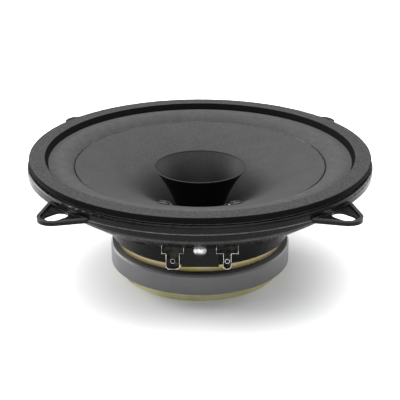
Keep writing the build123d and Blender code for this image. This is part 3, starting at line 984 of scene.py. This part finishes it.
def make_solder(pole, material):
    """Domed, slightly uneven joint, drawn out inwards over the end of its lead."""
    low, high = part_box("solder_" + pole)
    radius, rise = (high.x - low.x) / 2, high.z - low.z
    outline = [(radius * math.cos(a), rise * math.sin(a) ** 1.3)
               for a in (math.radians(90 * k / 12) for k in range(12))] + [(0, rise), (0, 0)]
    mesh = turned_mesh("solder_joint_" + pole, outline, 40)
    inwards, stretch = 0.35 * MM, 1.3
    foot = Vector(((low.x + high.x) / 2, (low.y + high.y) / 2, low.z))
    mesh.transform(Matrix.Translation(foot - terminal_direction() * inwards)
                   @ Matrix.Rotation(TERMINAL_TURN, 4, "Z") @ Matrix.Diagonal((stretch, 1, 1, 1)))
    roughen(mesh, 0.1 * MM, 0.7 * MM)
    piece = finish_mesh("solder_joint_" + pole, mesh, material, FRAME_BODY, 60)
    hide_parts("solder_" + pole)


def make_edge_glue(material):
    """Uneven line of glue where the cone's edge meets the surround."""
    radius = CONE_EDGE_RADIUS + 0.45 * MM
    sunk = 0.08 * MM
    loop = bead_loop(radius, cone_front(radius) - sunk, 0.2 * MM, 0.16 * MM, 8)
    mesh = turned_mesh("cone_edge_glue", loop)
    roughen(mesh, 0.16 * MM, 5 * MM)
    finish_mesh("cone_edge_glue", mesh, material, CONE_BODY, 60)


def make_board_rivet(material):
    """Tubular rivet lying along the terminal direction: domed head, shank, clinched tail."""
    head_radius, head_rise = 2.4 * MM, 0.72 * MM
    low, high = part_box("board_rivet")
    out = terminal_direction()
    tip = high.x / out.x - head_radius
    height = (low.z + high.z) / 2
    dome = [(head_radius * math.sin(a), head_rise * (math.cos(a) - 1))
            for a in (math.radians(90 * k / 14) for k in range(15))]
    tail = [(1.5 * MM, -head_rise), (1.5 * MM, -3.6 * MM), (1.75 * MM, -3.62 * MM), (1.7 * MM, -4.0 * MM),
            (1.2 * MM, -4.2 * MM), (0, -4.2 * MM)]
    mesh = turned_mesh("board_rivet_head", dome + tail, 64)
    mesh.transform(Matrix.Translation(out * tip + Vector((0, 0, height)))
                   @ out.to_track_quat("Z", "Y").to_matrix().to_4x4())
    piece = finish_mesh("board_rivet_head", mesh, material, FRAME_BODY, 50)
    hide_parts("board_rivet")


def finish_cad_nodes(materials):
    """Carried-over CAD nodes: a material each, and edges broken by a bevel where one is given."""
    for node, (material, bevel) in materials.items():
        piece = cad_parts[node]
        piece.data.materials.clear()
        piece.data.materials.append(material)
        if bevel:
            modifier = piece.modifiers.new("broken_edges", "BEVEL")
            modifier.width = bevel
            modifier.segments = 2
            modifier.limit_method = "ANGLE"
            modifier.angle_limit = math.radians(40)


# ======== assembly ========
make_camera()
make_studio()

# Materials that several pieces share, or that take their tones here.
paint = black_paint()
# Painted light: the yellow zinc comes as a lighter copy (back plate, pole piece) and a darker copy (top
# plate) as painted shade.
zinc = yellow_zinc("yellow_zinc", [(0.33, 0.34, 0.17), (0.6, 0.59, 0.32),
                                   (0.72, 0.69, 0.46), (0.68, 0.61, 0.49)])
top_plate_rim = [corner.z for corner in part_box("top_plate")]
shaded_zinc = yellow_zinc("shaded_zinc", [(0.14, 0.14, 0.05), (0.36, 0.34, 0.13),
                                      (0.4, 0.35, 0.21), (0.36, 0.29, 0.24)], top_plate_rim)
board_rivet_height = sum(corner.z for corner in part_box("board_rivet")) / 2
glint_rivet = painted_highlight_rivet(board_rivet_height)
bright_rivet = bright_metal("bright_rivet", (0.08, 0.08, 0.08), (0.36, 0.36, 0.35), 0.22)
tin_plate = painted_glint_tin()
tin_solder = bright_metal("tin_solder", (0.5, 0.5, 0.5), (0.8, 0.8, 0.8), 0.25)
eyelet_brass = bright_metal("eyelet_brass", (0.45, 0.32, 0.12), (0.75, 0.58, 0.3), 0.3)
tinsel = bright_metal("tinsel", (0.45, 0.28, 0.16), (0.8, 0.62, 0.45), 0.35)
foil = bright_metal("foil", (0.5, 0.5, 0.5), (0.8, 0.8, 0.8), 0.3)
glue = glue_bead()
lacquer = black_lacquer()
lacquered_wire = enamelled_wire()
black_board = fibre_board("black_board", (0.002, 0.002, 0.002), (0.007, 0.0067, 0.006))
ring_board = fibre_board("ring_board", (0.03, 0.027, 0.024), (0.07, 0.063, 0.056))

make_gasket(gasket_foam())
make_surround(surround_foam())
make_cone(cone_paper())
make_whizzer(whizzer_paper())
make_dust_cap(dust_cap_felt(), glue)
make_spider(spider_cloth())
for lead_pole, lead_side in (("negative", 1), ("positive", -1)):
    make_lead_strip(lead_pole, lead_side, lacquer)
    make_lead_wire(lead_pole, lead_side, lacquered_wire)
    make_tinsel_lead(lead_pole, lead_side, TINSEL_ROUTES[lead_pole], tinsel)
    make_solder(lead_pole, tin_solder)
make_edge_glue(lacquer)
make_board_rivet(glint_rivet)

finish_cad_nodes({
    "basket": (paint, 0),
    "back_plate": (zinc, 0),
    "top_plate": (shaded_zinc, 0),
    "pole_piece": (zinc, 0),
    "magnet": (ferrite(), 0),
    "magnet_adhesive": (glue, 0),
    "neck_glue": (glue, 0),
    "spider_glue": (glue, 0),
    "spider_ring": (ring_board, 0),
    "basket_rivets": (bright_rivet, 0),
    "terminal_board": (black_board, 0.12 * MM),
    "terminal_positive": (tin_plate, 0.08 * MM),
    "terminal_negative": (tin_plate, 0.08 * MM),
    "cone_eyelet_positive": (eyelet_brass, 0),
    "cone_eyelet_negative": (eyelet_brass, 0),
    "voice_coil_former": (foil, 0),
    "voice_coil_winding": (copper_winding(), 0),
})
